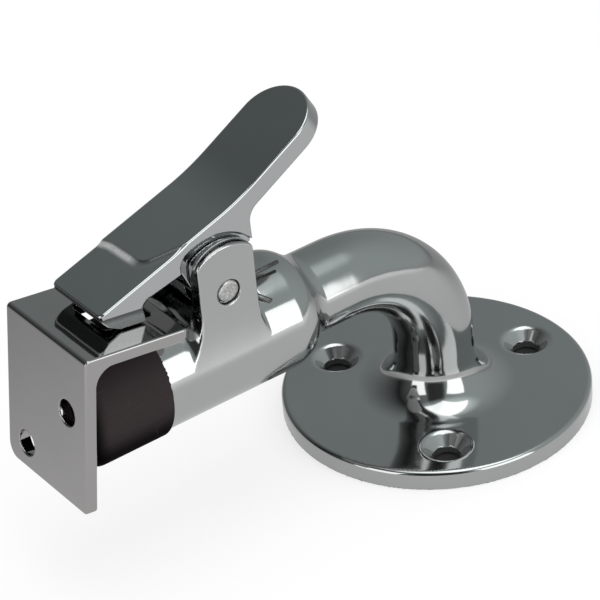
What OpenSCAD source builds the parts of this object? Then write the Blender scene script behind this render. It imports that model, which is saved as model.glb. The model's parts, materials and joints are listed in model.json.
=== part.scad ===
// Floor-standing door stop with a spring catch, shown holding its door keeper.
// Origin: centre of the flange's mounting face. Z is up and the arm reaches along -X.
// All lengths are in millimetres.

/* [Floor flange] */
// Diameter of the round flange
flange_d = 60; // [54:1:72]
// Thickness of the flange
flange_t = 3.9; // [3.2:0.1:6]
// Radius of the flange's top edge
flange_edge_r = 0.9; // [0.3:0.1:1.4]
// Number of countersunk screw holes
screw_count = 3; // [3:1:6]
// Diameter of the circle that the screw holes lie on
screw_pcd = 43; // [41:1:46]
// Bore of each screw hole
screw_hole_d = 5.2; // [4:0.1:6]
// Turn of the ring of screw holes from the arm's plane
screw_turn = -4; // [-15:1:15]
// Diameter of each countersink at the top face
csk_d = 9.4; // [7.5:0.1:10.5]

/* [Gooseneck] */
// Diameter of the round neck and arm
neck_d = 15.6; // [13:0.2:17]
// Radius of the flare where the neck meets the flange
foot_r = 7.5; // [3:0.5:8]
// Radius of the bend, to the middle of the arm
bend_r = 22.5; // [18:0.5:25]
// Height of the head's axis above the floor
axis_h = 37.1; // [35:0.1:44]

/* [Head] */
// Diameter of the head
head_d = 22.8; // [21:0.2:25]
// Distance from the neck's axis to the head's front face
head_reach = 65.8; // [64:0.2:70]
// Distance from the neck's axis to the back of the head's dome
head_back = 30.2; // [27:0.2:33]
// Radius of the dome at the back of the head
dome_r = 7; // [4:0.5:7.5]
// Radius of the fillet between the dome and the arm
arm_fillet_r = 1.8; // [0.6:0.1:2.4]
// Diameter of the spigot that carries the buffer
spigot_d = 9; // [7:0.5:10]
// Diameter of the spigot's mushroom rim
spigot_rim_d = 13; // [11:0.5:14]
// Length of the spigot
spigot_len = 9; // [7:0.5:10]
// Thickness of the mushroom rim
spigot_rim_t = 2.5; // [2:0.1:3]

/* [Ears and pivot pin] */
// Height of the pin's axis above the head's axis
pin_rise = 14.95; // [14.6:0.05:16]
// Distance from the head's front face back to the pin's axis
pin_back = 14.8; // [14:0.2:16]
// Diameter of the pivot pin
pin_d = 4.2; // [3.6:0.1:4.6]
// Diameter of the pin's riveted ends
pin_head_d = 5; // [4.8:0.1:5.6]
// Thickness of the pin's riveted ends
pin_head_t = 0.6; // [0.4:0.1:1]
// How deep the riveted ends sit below the ears' outer faces
pin_sink = 0.3; // [0.1:0.1:0.6]
// Distance between the ears' inner faces
ear_gap = 13.6; // [13.6:0.1:15]
// Thickness of each ear
ear_t = 2.8; // [2.2:0.1:3.4]
// Width of each ear, along the arm
ear_w = 12; // [11:0.2:13]
// Radius of the ears' arched tops about the pin
ear_top_r = 9.35; // [8.4:0.05:9.6]
// Radius of the blend between an ear's outer face and the head
ear_blend_r = 8; // [3:0.5:12]
// Height of the clevis slot's floor above the head's axis
slot_floor = 9.4; // [8.6:0.1:9.6]
// How far the clevis slot runs past the ears, front and back
slot_over = 2; // [1:0.1:3]

/* [Catch lever] */
// Width of the lever
lever_w = 15.2; // [14.8:0.1:16]
// Distance from the pin to the tip of the nose
nose_reach = 25; // [24.6:0.1:26]
// Distance from the pin to the crease in the lever's top
crease_out = 4.9; // [3:0.1:7]
// Height of that crease above the pin
crease_rise = 15.4; // [15:0.1:17]
// Slope of the lever's top in front of the crease
nose_slope = 18.3; // [17:0.1:19]
// Slope of the thumb tail behind the crease
tail_slope = 29; // [25:0.5:32]
// Length of the thumb tail, from the crease to its tip
tail_len = 22.3; // [19:0.1:26]
// Thickness of the thumb tail
tail_t = 3.7; // [3:0.1:4.4]
// Depth of the flat pad that is milled on the nose
pad_depth = 0.4; // [0.2:0.05:0.7]
// Length of that pad, along the nose's slope
pad_len = 10.7; // [7:0.1:12]
// Radius of the step that rises from the pad to the rest of the top
pad_step_r = 4; // [1:0.5:8]
// Radius of the step's rounded near corner
pad_corner_r = 4; // [2:0.5:5]
// Distance from the pin to the hook's latching face
hook_back = 15.5; // [15:0.1:16]
// Length of the hook along the arm
hook_len = 5.4; // [5:0.1:5.8]
// Width of the tooth that drops into the keeper's slot
tooth_w = 9.6; // [7:0.1:10.4]
// Slope of the bevels along the nose's lower sides
bevel_slope = 14; // [8:1:24]
// Radius of the hub about the pin
hub_r = 5; // [4.4:0.1:5.2]

/* [Spring] */
// Diameter of the spring wire
wire_d = 0.8; // [0.6:0.1:0.9]
// Radius of the coil, to the middle of the wire
coil_r = 3; // [2.8:0.05:3.2]

/* [Rubber buffer] */
// Diameter of the buffer
buffer_d = 24; // [23:0.2:26]
// Length of the buffer
buffer_len = 14.9; // [13:0.1:16]
// Radius of the buffer's front edge
buffer_edge_r = 1.8; // [1:0.1:3]

/* [Keeper] */
// Width of the keeper
keeper_w = 25.1; // [22:0.1:30]
// Height of the keeper's face
keeper_h = 30.7; // [28:0.1:36]
// Length of the keeper's leg
keeper_leg = 21.2; // [20.3:0.1:21.5]
// Thickness of the keeper
keeper_t = 2.4; // [2:0.1:2.6]
// Radius inside the keeper's bend
keeper_bend_r = 3.6; // [1:0.1:4]
// Radius of the lower corners of the keeper's face
keeper_corner_r = 3; // [1:0.1:4]
// Radius of the corners at the end of the keeper's leg
keeper_leg_r = 1; // [0.5:0.1:3]
// Bore of the keeper's screw holes
keeper_hole_d = 4.9; // [4:0.1:5.5]
// Distance of each screw hole from the keeper's middle
keeper_hole_out = 6.6; // [5:0.1:8]
// Depth of the upper screw hole below the bend
keeper_hole_high = 12.8; // [11:0.1:14]
// Depth of the lower screw hole below the bend
keeper_hole_low = 25.6; // [22:0.1:26]
// Angle at which the loose keeper hangs on the hook
keeper_tilt = 7.5; // [6.5:0.1:8]

/* [Hidden] */
$fn = 96;

run_gap = 0.05;      // radial gap between the pin and the lever's bore
seat_gap = 0.01;     // radial gap between the pin and the ears
side_gap = 0.2;      // gap between the lever's web and each ear
clear_gap = 0.3;     // gap between parts of different bodies
rubber_gap = 0.03;   // gap between the buffer and its spigot
rest_gap = 0.06;     // gap under the keeper where it rests on the buffer
eps = 0.01;          // overlap that makes cuts run clean through

pin_x = pin_back - head_reach;
pin_z = axis_h + pin_rise;
head_r = head_d / 2;
neck_r = neck_d / 2;
ear_out = ear_gap / 2 + ear_t;
web_w = ear_gap - 2 * side_gap;
pin_half = ear_out - pin_sink;

// Helpers

function unit(v) = v / norm(v);
function plane(p) = [p[0], p[1]];

// Arc of a circle from angle a0 to a1 in n steps.
function arc(c, r, a0, a1, n) = [for (i = [0:n]) c + r * [cos(a0 + (a1 - a0) * i / n), sin(a0 + (a1 - a0) * i / n)]];

// One corner [x, y, radius] of an outline as the points of its fillet. The
// radius is limited so that the fillet stays within both of its edges.
function corner(a, b, c, n) =
    let (u = unit(plane(a) - plane(b)), w = unit(plane(c) - plane(b)),
         half = acos(u * w) / 2,
         room = 0.49 * min(norm(plane(a) - plane(b)), norm(plane(c) - plane(b))),
         r = min(b[2], room * tan(half)))
    r < 0.02 ? [plane(b)] :
    let (o = plane(b) + unit(u + w) * r / sin(half),
         p = plane(b) + u * r / tan(half) - o,
         q = plane(b) + w * r / tan(half) - o,
         a0 = atan2(p[1], p[0]),
         turn = atan2(q[1], q[0]) - a0,
         sweep = turn > 180 ? turn - 360 : turn < -180 ? turn + 360 : turn)
    arc(o, r, a0, a0 + sweep, n);

// Outline with every corner rounded by its own radius.
function rounded(p, n = 6) =
    [for (i = [0:len(p) - 1]) each corner(p[(i + len(p) - 1) % len(p)], p[i], p[(i + 1) % len(p)], n)];

// Rotates a point of the XZ plane by a, so that +X turns towards -Z.
function dip(p, a) = [p[0] * cos(a) + p[1] * sin(a), -p[0] * sin(a) + p[1] * cos(a)];

// Side outline in the XZ plane, made w wide across the part.
module slab(points, w) {
    rotate([90, 0, 0]) translate([0, 0, -w / 2]) linear_extrude(height = w) polygon(points);
}

// Bar across the part along Y.
module cross_bar(r, w) {
    rotate([90, 0, 0]) translate([0, 0, -w / 2]) cylinder(r = r, h = w);
}

// Turned shape: an outline of [distance in front of the neck's axis, radius],
// revolved about the head's axis.
module turned(points) {
    translate([0, 0, axis_h]) rotate([0, -90, 0]) rotate_extrude() polygon([for (p = points) [p[1], p[0]]]);
}

// Body casting: flange, gooseneck, head and ears in one piece

module flange() {
    r = flange_d / 2;
    rotate_extrude() {
        square([r - flange_edge_r, flange_t]);
        square([r, flange_t - flange_edge_r]);
        translate([r - flange_edge_r, flange_t - flange_edge_r]) circle(flange_edge_r);
    }
}

module foot_flare() {
    translate([0, 0, flange_t]) rotate_extrude() difference() {
        translate([0, -eps]) square([neck_r + foot_r, foot_r + eps]);
        translate([neck_r + foot_r, foot_r]) circle(foot_r);
    }
}

module screw_holes() {
    csk_depth = (csk_d - screw_hole_d) / 2;
    for (i = [0:screw_count - 1]) rotate(screw_turn + i * 360 / screw_count) translate([screw_pcd / 2, 0, 0]) {
        translate([0, 0, -1]) cylinder(d = screw_hole_d, h = flange_t + 2);
        translate([0, 0, flange_t - csk_depth])
            cylinder(d1 = screw_hole_d, d2 = csk_d + 2 * eps, h = csk_depth + eps);
        translate([0, 0, flange_t]) cylinder(d = csk_d + 2 * eps, h = foot_r);
    }
}

module gooseneck() {
    cylinder(r = neck_r, h = axis_h - bend_r);
    translate([-bend_r, 0, axis_h - bend_r]) rotate([90, 0, 0]) rotate_extrude(angle = 90)
        translate([bend_r, 0]) circle(neck_r);
    translate([-bend_r, 0, axis_h]) rotate([0, -90, 0]) cylinder(r = neck_r, h = head_back + dome_r - bend_r);
}

// Dome centre and the fillet that leads from the dome to the arm.
dome_x = head_back + dome_r;
dome_in = head_r - dome_r;
fillet_rise = neck_r + arm_fillet_r - dome_in;
fillet_x = dome_x - sqrt(pow(dome_r + arm_fillet_r, 2) - fillet_rise * fillet_rise);
fillet_a = atan2(fillet_rise, dome_x - fillet_x);

module head() {
    turned(concat(
        [[head_reach, 0], [head_reach, head_r]],
        arc([dome_x, dome_in], dome_r, 90, 180 - fillet_a, 12),
        arc([fillet_x, neck_r + arm_fillet_r], arm_fillet_r, -fillet_a, -90, 6),
        [[fillet_x, 0]]));
}

module spigot() {
    translate([eps - head_reach, 0, axis_h]) rotate([0, -90, 0]) {
        cylinder(d = spigot_d, h = spigot_len + eps);
        translate([0, 0, spigot_len + eps - spigot_rim_t])
            cylinder(d1 = spigot_rim_d, d2 = spigot_d, h = spigot_rim_t);
    }
}

// Both ears with the concave blends that lead down their outer faces to the head.
module ears() {
    blend_y = ear_out + ear_blend_r;
    blend_z = sqrt(pow(head_r + ear_blend_r, 2) - blend_y * blend_y);
    root = blend_y * head_r / (head_r + ear_blend_r);
    root_z = blend_z * head_r / (head_r + ear_blend_r);
    intersection() {
        union() {
            translate([pin_x - ear_w / 2, -ear_out, axis_h]) cube([ear_w, 2 * ear_out, pin_rise + ear_top_r]);
            for (s = [-1, 1]) translate([pin_x, 0, axis_h]) difference() {
                slab_x([[0, root_z], [s * root, root_z], [s * ear_out, blend_z], [0, blend_z]], ear_w);
                translate([-ear_w, s * blend_y, blend_z]) rotate([0, 90, 0])
                    cylinder(r = ear_blend_r, h = 2 * ear_w);
            }
        }
        translate([pin_x, 0, pin_z]) union() {
            cross_bar(ear_top_r, 2 * head_d);
            translate([-ear_w, -head_d, -pin_rise - head_r]) cube([2 * ear_w, 2 * head_d, pin_rise + head_r]);
        }
    }
}

// Outline in the YZ plane, made w wide along the arm.
module slab_x(points, w) {
    translate([-w / 2, 0, 0]) rotate([90, 0, 90]) linear_extrude(height = w) polygon(points);
}

module clevis_cuts() {
    translate([pin_x - ear_w / 2 - slot_over, -ear_gap / 2, axis_h + slot_floor])
        cube([ear_w + 2 * slot_over, ear_gap, pin_rise + ear_top_r]);
    translate([pin_x, 0, pin_z]) {
        cross_bar(pin_d / 2 + seat_gap, 2 * ear_out + 2);
        for (s = [-1, 1]) translate([0, s * ear_out, 0])
            cross_bar(pin_head_d / 2 + seat_gap, 2 * (pin_sink + pin_head_t));
    }
}

module body_casting() {
    color("silver") difference() {
        union() {
            difference() {
                union() {
                    flange();
                    foot_flare();
                }
                screw_holes();
            }
            gooseneck();
            head();
            spigot();
            ears();
        }
        clevis_cuts();
    }
}

// Pivot pin with riveted ends

module pivot_pin() {
    color("gainsboro") translate([pin_x, 0, pin_z]) {
        cross_bar(pin_d / 2, 2 * pin_half - eps);
        for (s = [-1, 1]) translate([0, s * (pin_half - pin_head_t / 2), 0])
            cross_bar(pin_head_d / 2, pin_head_t);
    }
}

// Rubber buffer

module rubber_buffer() {
    front = head_reach + buffer_len;
    rim = head_reach + spigot_len;
    neck_cut = spigot_d / 2 + rubber_gap;
    rim_cut = spigot_rim_d / 2 + rubber_gap;
    color("dimgray") turned(concat(
        [[rim + rubber_gap, 0], [rim + rubber_gap, neck_cut], [rim - spigot_rim_t, rim_cut],
         [rim - spigot_rim_t - rubber_gap, rim_cut], [rim - spigot_rim_t - rubber_gap, neck_cut],
         [head_reach + rubber_gap, neck_cut]],
        arc([head_reach + rubber_gap + buffer_back_r, buffer_d / 2 - buffer_back_r], buffer_back_r, 180, 90, 4),
        arc([front - buffer_edge_r, buffer_d / 2 - buffer_edge_r], buffer_edge_r, 90, 0, 8),
        [[front, 0]]));
}

// Keeper: an angle with a slot, hanging on the hook and resting on the buffer

// The keeper's own frame has its origin at the outer edge of the bend, +X along
// the leg and -Z down the face. It is placed so that the leg's underside clears
// the buffer's rear edge and the face clears the buffer's front.
bend_gap = 1.9;      // distance from the buffer's front to the keeper's bend
buffer_back_r = 0.5; // rounding of the buffer's back edge
keeper_edge_r = 0.5; // rounding of the keeper's long edges
slot_ahead = 2.2;    // room in the slot in front of the hook
slot_behind = 2.5;   // room in the slot behind the hook
slot_beside = 0.4;   // room in the slot on each side of the tooth
slot_r = 1;          // rounding of the slot's corners
keeper_x = -(head_reach + buffer_len + bend_gap);
rest_x = -head_reach - buffer_back_r;
rest_z = axis_h + buffer_d / 2 + rest_gap;
keeper_z = rest_z + (keeper_t + (rest_x - keeper_x) * sin(keeper_tilt)) / cos(keeper_tilt);

// Height of the leg's top above the pin at distance u in front of the pin.
function leg_top(u) = keeper_z - pin_z - (pin_x - u - keeper_x) * tan(keeper_tilt);
// Distance along the leg of a point that lies u in front of the pin, at height v.
function along_leg(u, v) = dip([pin_x - u - keeper_x, pin_z + v - keeper_z], -keeper_tilt)[0];

module keeper_plate() {
    w = keeper_w / 2;
    t = keeper_t;
    foot_r = keeper_edge_r / 2;
    under_r = 0.7 * t;
    slot_front = along_leg(hook_back + hook_len, leg_top(hook_back)) - slot_ahead;
    slot_back = along_leg(hook_back, leg_top(hook_back)) + slot_behind;
    slot_half = tooth_w / 2 + slot_beside;
    color("lightgray") translate([keeper_x, 0, keeper_z]) rotate([0, keeper_tilt, 0]) difference() {
        intersection() {
            slab(rounded([[0, 0, keeper_edge_r], [keeper_leg, 0, keeper_edge_r], [keeper_leg, -t, under_r],
                          [t, -t, keeper_bend_r], [t, -keeper_h, foot_r], [0, -keeper_h, foot_r]]), keeper_w);
            slab_x(rounded([[-w, t, 0], [w, t, 0], [w, -keeper_h, keeper_corner_r],
                            [-w, -keeper_h, keeper_corner_r]]), 3 * keeper_leg);
            translate([0, 0, -2 * keeper_h]) linear_extrude(height = 3 * keeper_h)
                polygon(rounded([[-t, -w, 0], [keeper_leg, -w, keeper_leg_r], [keeper_leg, w, keeper_leg_r],
                                 [-t, w, 0]]));
        }
        translate([0, 0, -2 * t]) linear_extrude(height = 3 * t)
            polygon(rounded([[slot_front, -slot_half, slot_r], [slot_back, -slot_half, slot_r],
                             [slot_back, slot_half, slot_r], [slot_front, slot_half, slot_r]]));
        for (hole = [[-keeper_hole_out, keeper_hole_high], [keeper_hole_out, keeper_hole_low]])
            translate([-t, hole[0], -hole[1]]) rotate([0, 90, 0]) cylinder(d = keeper_hole_d, h = 3 * t);
    }
}

// Catch lever: nose with hook, hub between the ears and thumb tail

// The lever's own frame has its origin on the pin, and its nose points along -X.
nose_top = crease_rise - (nose_reach + crease_out) * tan(nose_slope);
foot_v = leg_top(hook_back) + clear_gap;
foot_front_v = leg_top(hook_back + hook_len) + clear_gap;
tooth_v = axis_h + buffer_d / 2 + clear_gap + 0.1 - pin_z;
crease_r = 12;       // radius of the crease in the top
lip_h = 1.3;         // height of the blunt lip at the nose's tip
lip_r = 0.4;         // rounding of that lip
chin_back = 1.7;     // how far the chin under the lip lies behind the tip
chin_drop = 1.5;     // height of the chin above the hook's foot
chin_r = 3;          // rounding of the chin
toe_r = 1.6;         // rounding of the hook's front corner
heel_r = 0.3;        // rounding of the hook's latching corner
hook_h = 4.3;        // height of the hook's latching face
hook_rake = 0.6;     // how far the latching face leans back over that height
hook_root_r = 1.5;   // fillet above the latching face
neck_fillet_r = 1.2; // fillet where the nose meets the hub
tail_root_r = 3.4;   // fillet under the root of the thumb tail
back_lean = 0.2;     // how far the lever's back leans forward towards the tail
back_r = 1;          // rounding half way down the lever's back
back_foot = 1;       // how far the foot of the lever's back is drawn in
tooth_inset = 0.8;   // how far the tooth starts behind the hook's front
tooth_lead = 2.2;    // length of the tooth's sloping front
tooth_r = 1;         // rounding of the tooth's front corner
pad_strip = 1.1;     // width of the strip beside the pad's step
pad_run_out = 25;    // angle at which that strip runs out
recess_r = ear_top_r + 1.5;
recess_shift = 1.2;  // how far the recess's arch lies in front of the pin
recess_front = ear_w / 2 + 1.9;
recess_low = 5.9;    // height above the pin up to which the recess is open at the back
bevel_drop = 1.6;    // distance of the nose's bevels below the top at the tip
bevel_fall = 8.5;    // slope at which those bevels fall towards the hook
bevel_over = 3.4;    // how far the bevels run past the hook
back_out = ear_w / 2 + 1.4;
pocket_r = hub_r + 0.1;
hub_face = 3.3;      // distance from the lever's middle to the spring's coil
heel_v = -coil_r + wire_d / 2 + 0.4;
leg_room = 1.2;      // width of the way for the spring's lower leg
past = 2 * nose_reach;

module lever_side() {
    far = crease_out + tail_len;
    tail_top = crease_rise + tail_len * tan(tail_slope);
    drop = tail_t / cos(tail_slope);
    root_u = back_out - back_lean;
    slab(rounded([
        [-nose_reach, nose_top, lip_r],
        [crease_out, crease_rise, crease_r],
        [far, tail_top, 0],
        [far, tail_top - drop, 0],
        [root_u, crease_rise - drop + (root_u - crease_out) * tan(tail_slope), tail_root_r],
        [back_out, recess_low, back_r],
        [back_out - back_foot, heel_v, lip_r],
        [0, heel_v, 0],
        [0, 0, 0],
        [back_lean - hub_r, 0, 0],
        [lip_r - recess_front, recess_low + back_lean, neck_fillet_r],
        [-hook_back - hook_rake, foot_v + hook_h, hook_root_r],
        [-hook_back, foot_v, heel_r],
        [-hook_back - hook_len, foot_front_v, toe_r],
        [chin_back - nose_reach, foot_front_v + chin_drop, chin_r],
        [-nose_reach, nose_top - lip_h, lip_r]]), lever_w);
}

// Round end of the thumb tail and the straight sides in front of it.
module lever_plan() {
    middle = tail_len - lever_w / 2;
    translate([crease_out, 0, crease_rise]) rotate([0, -tail_slope, 0]) {
        translate([-past, -lever_w / 2, -past]) cube([past + middle, lever_w, 2 * past]);
        translate([middle, 0, -past]) cylinder(d = lever_w, h = 2 * past);
    }
}

// The flat pad on the nose, cut along the sloping top. The cutter's round edge
// leaves a hollow step, which turns a corner on the near side and runs out there.
module nose_pad() {
    r = pad_corner_r;
    over = 2;
    side = lever_w / 2 + over;
    c = [pad_len + r, pad_strip + r - lever_w / 2];
    bend = c - r * [sin(pad_run_out), cos(pad_run_out)];
    out = bend + 2 * lever_w * [cos(pad_run_out), -sin(pad_run_out)];
    translate([-nose_reach, 0, nose_top]) rotate([0, -nose_slope, 0]) translate([0, 0, -pad_depth]) {
        difference() {
            translate([-over, -side, 0]) cube([out[0], 2 * side, over]);
            translate([0, 0, -over]) linear_extrude(height = 3 * over)
                polygon([[pad_len, c[1]], [pad_len, side + over], [out[0] + over, side + over], out, bend, c]);
            translate([c[0], c[1], -over]) cylinder(r = r, h = 3 * over);
        }
        translate([0, 0, pad_step_r]) {
            translate([pad_len, c[1], 0]) rotate([-90, 0, 0]) cylinder(r = pad_step_r, h = lever_w);
            translate([c[0], c[1], 0]) rotate([0, 0, 180]) rotate_extrude(angle = 90 - pad_run_out)
                intersection() {
                    translate([r, 0]) circle(pad_step_r);
                    translate([0, -2 * pad_step_r]) square(4 * pad_step_r);
                }
            translate([bend[0], bend[1], 0]) rotate([0, 90, -pad_run_out]) cylinder(r = pad_step_r, h = lever_w);
        }
    }
}

// Recess for an ear: arched above the pin, open below and at the back.
module ear_recess(s) {
    depth = lever_w / 2 - web_w / 2;
    translate([0, s * (web_w / 2 + depth), 0]) {
        translate([-recess_shift, 0, 0]) intersection() {
            cross_bar(recess_r, 2 * depth);
            translate([recess_shift - recess_front, -2 * depth, -recess_r])
                cube([2 * recess_r, 4 * depth, 2 * recess_r]);
        }
        translate([-recess_front, -depth, -2 * hub_r])
            cube([2 * recess_front + back_out, 2 * depth, 2 * hub_r + recess_low]);
    }
}

// Bevel along the lower side of the nose, under a line that falls towards the hook.
module nose_bevel(s) {
    run = nose_reach - hook_back + bevel_over;
    translate([-nose_reach - 1, s * lever_w / 2, nose_top - bevel_drop]) rotate([0, bevel_fall, 0])
        rotate([-s * bevel_slope, 0, 0]) translate([0, s > 0 ? 0 : -lever_w, -nose_reach])
            cube([run, lever_w, nose_reach]);
}

// Tooth that drops through the keeper's slot.
module tooth() {
    rake = hook_rake / hook_h;
    front = -hook_back - hook_len + tooth_inset;
    slab(rounded([
        [front, foot_front_v + 1, 0],
        [front, foot_front_v, toe_r / 3],
        [front + tooth_lead, tooth_v, tooth_r],
        [-hook_back + (foot_v - tooth_v) * rake, tooth_v, heel_r],
        [-hook_back - rake, foot_v + 1, 0]]), tooth_w);
}

// Room for the spring: round its coil, and beside the leg that runs down to the head.
module spring_pocket() {
    translate([0, -(hub_face + lever_w / 2) / 2, 0]) cross_bar(pocket_r, lever_w / 2 - hub_face);
    translate([0, -lever_w, -2 * hub_r])
        cube([2 * recess_front, lever_w - web_w / 2 + leg_room, 2 * hub_r + recess_low]);
}

module catch_lever() {
    color("lightsteelblue") translate([pin_x, 0, pin_z]) difference() {
        union() {
            difference() {
                intersection() {
                    lever_side();
                    lever_plan();
                }
                nose_pad();
                for (s = [-1, 1]) nose_bevel(s);
                for (s = [-1, 1]) ear_recess(s);
            }
            tooth();
            cross_bar(hub_r, web_w);
        }
        spring_pocket();
        cross_bar(pin_d / 2 + run_gap, 2 * lever_w);
    }
}

// Catch spring: a torsion coil on the pin. One leg lies under the lever's heel
// and the other presses on the head's shoulder behind the near ear.

spring_turns = 2.65;
coil_steps = 24;
coil_pitch = wire_d + 0.05;
coil_start = -(hub_face + 0.2 + wire_d / 2);
leg_tip = 14.4;      // how far the heel leg reaches behind the pin
leg_rise = 0.2;      // how far the heel leg's tip rises
shoulder_y = 8.4;    // how far the shoulder leg's tip stands out sideways
shoulder_out = 9.4;  // how far that tip lies behind the pin
splay_y = 7;         // sideways place of the shoulder leg's last bend
splay_out = ear_w / 2 + 1.3;

// Height above the pin of a wire that lies on the head at distance y from the middle.
function on_head(y) = sqrt(pow(head_r + wire_d / 2, 2) - y * y) - pin_rise;

// Middle line of the wire as [x, y, z] about the pin, from the heel leg's tip to
// the shoulder leg's tip.
coil_end = coil_start - spring_turns * coil_pitch;
spring_path = concat(
    [[leg_tip, coil_start, leg_rise - coil_r], [leg_tip / 2, coil_start, leg_rise / 2 - coil_r]],
    [for (i = [0:round(spring_turns * coil_steps)])
        let (a = -90 - i * 360 / coil_steps)
        [coil_r * cos(a), coil_start - i * coil_pitch / coil_steps, coil_r * sin(a)]],
    [[splay_out - 0.6, coil_end, on_head(splay_y) + 1],
     [splay_out, -splay_y, on_head(splay_y) + clear_gap],
     [shoulder_out, -shoulder_y, on_head(shoulder_y)]]);

// Tube swept along a path, with square ends. Each ring stands across the mean of
// the two directions that meet at its point.
module wire(path, r, sides = 8) {
    last = len(path) - 1;
    rings = [for (i = [0:last])
        let (ahead = unit(path[min(i + 1, last)] - path[min(i, last - 1)]),
             behind = unit(path[max(i, 1)] - path[max(i - 1, 0)]),
             t = unit(ahead + behind),
             n = unit(cross(t, [0, 1, 0])),
             b = cross(n, t))
        [for (k = [0:sides - 1]) path[i] + r * (cos(k * 360 / sides) * n + sin(k * 360 / sides) * b)]];
    polyhedron(
        points = [for (ring = rings) each ring],
        faces = concat(
            [[for (k = [0:sides - 1]) k]],
            [for (i = [0:last - 1]) for (k = [0:sides - 1])
                [i * sides + k, (i + 1) * sides + k, (i + 1) * sides + (k + 1) % sides, i * sides + (k + 1) % sides]],
            [[for (k = [sides - 1:-1:0]) last * sides + k]]));
}

module catch_spring() {
    color("gray") translate([pin_x, 0, pin_z]) wire(spring_path, wire_d / 2);
}

body_casting();
catch_lever();
pivot_pin();
catch_spring();
rubber_buffer();
keeper_plate();
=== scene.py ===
# %% [markdown]
# # A door stop with a spring catch
# The model arrives as a fixed frame of solids in real size. This lesson dresses
# it: polished castings, a rubber buffer, a sprung lever and a folded keeper. The
# castings are mirror bright, so every piece gets a surface whose direction is
# known exactly at each point. Facets would show at once in such a finish.

# %% The frame
import json
import bmesh
import bpy
import numpy as np
from mathutils import Matrix, Vector

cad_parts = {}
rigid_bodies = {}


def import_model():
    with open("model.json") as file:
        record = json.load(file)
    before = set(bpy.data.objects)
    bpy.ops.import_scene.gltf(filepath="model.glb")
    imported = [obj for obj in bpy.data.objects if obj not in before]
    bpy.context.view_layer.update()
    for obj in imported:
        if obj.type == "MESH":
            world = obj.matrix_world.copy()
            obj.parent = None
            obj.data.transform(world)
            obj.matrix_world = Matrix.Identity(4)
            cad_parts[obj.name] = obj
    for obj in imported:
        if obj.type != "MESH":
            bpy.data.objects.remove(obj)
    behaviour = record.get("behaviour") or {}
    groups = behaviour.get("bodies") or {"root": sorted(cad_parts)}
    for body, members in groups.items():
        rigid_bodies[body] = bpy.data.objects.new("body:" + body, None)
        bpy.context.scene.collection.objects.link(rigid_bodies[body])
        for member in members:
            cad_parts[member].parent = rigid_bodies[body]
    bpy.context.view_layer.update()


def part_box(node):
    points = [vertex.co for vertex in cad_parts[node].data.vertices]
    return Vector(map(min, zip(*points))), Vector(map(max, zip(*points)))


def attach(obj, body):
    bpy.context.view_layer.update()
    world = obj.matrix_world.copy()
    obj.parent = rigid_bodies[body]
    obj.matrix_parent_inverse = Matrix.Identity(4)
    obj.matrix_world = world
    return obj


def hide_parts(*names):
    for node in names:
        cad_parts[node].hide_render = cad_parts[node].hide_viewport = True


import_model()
MM = 0.001

# %% [markdown]
# ## Shapes as distances
# A casting has no seams: its ribs, bosses and bores melt into each other. Such a
# shape is easy to state as a distance: a number for each point of space that is
# negative inside the metal and zero on its skin. Two shapes are joined with a
# round fillet, or cut with a round edge, by one line of arithmetic, and the
# direction in which the number grows is the surface's normal. In every call the
# last number is the radius of that fillet or edge. All sizes are millimetres.

# %% Joining and cutting
def join(a, b, r):
    """Union with a fillet: the smaller distance, but where both are under r the
    fillet's own distance, r minus the length of the two shortfalls."""
    smaller = np.maximum(r, np.minimum(a, b))
    return smaller - np.hypot(np.maximum(r - a, 0), np.maximum(r - b, 0))


def meet(a, b, r):
    """Intersection with a round edge: the larger distance, but where both are over
    -r the edge's own distance, the length of the two overshoots minus r."""
    larger = np.minimum(-r, np.maximum(a, b))
    return larger + np.hypot(np.maximum(r + a, 0), np.maximum(r + b, 0))


def cut(a, b, r):
    """Shape a with shape b taken out of it, and the new edge rounded by r."""
    return meet(a, -b, r)


def tilted(u, v, degrees):
    """Coordinates (u, v) seen from axes that are turned by the given angle."""
    c, s = np.cos(np.radians(degrees)), np.sin(np.radians(degrees))
    return u * c + v * s, v * c - u * s


print("1 mm from two walls, a 2 mm fillet is", round(float(join(1, 1, 2)), 3), "mm away")

# %% [markdown]
# Many outlines here are straight lines with filleted corners. The distance to
# such an outline is exact when lines and arcs are measured as what they are, and
# then the reflections glide over the fillets with no steps.

# %% Lines and arcs of an outline
FAR = 1e9


def lines_and_arcs(corners):
    """Straight lines (start, end) and corner arcs (centre, middle direction, radius,
    turn, half angle) of a closed outline. Each arc touches both of its edges, so it
    starts radius * tan(half the turn) before the corner. A clockwise list of
    corners is turned round first."""
    p = np.array(corners, float)
    area = np.sum(p[:, 0] * np.roll(p[:, 1], -1) - p[:, 1] * np.roll(p[:, 0], -1))
    if area < 0:
        p = p[::-1]
    at, r = p[:, :2], p[:, 2]
    ahead = np.roll(at, -1, 0) - at
    e = ahead / np.linalg.norm(ahead, axis=1)[:, None]
    before = np.roll(e, 1, 0)
    turn = before[:, 0] * e[:, 1] - before[:, 1] * e[:, 0]
    half = np.arctan2(turn, np.sum(before * e, 1)) / 2
    reach = r * np.abs(np.tan(half))
    start, end = at - before * reach[:, None], at + e * reach[:, None]
    inward = np.sign(turn)[:, None] * np.stack([-before[:, 1], before[:, 0]], 1)
    centre = start + inward * r[:, None]
    middle = at - centre
    middle /= np.maximum(np.linalg.norm(middle, axis=1)[:, None], 1 / FAR)
    arcs = list(zip(centre, middle, r, turn, np.abs(half)))
    return list(zip(end, np.roll(start, -1, 0))), arcs


# %% [markdown]
# A point is measured against every line and every arc, and the nearest one also
# tells the sign: left of a line, or inside an arc that turns left, is metal.

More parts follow.
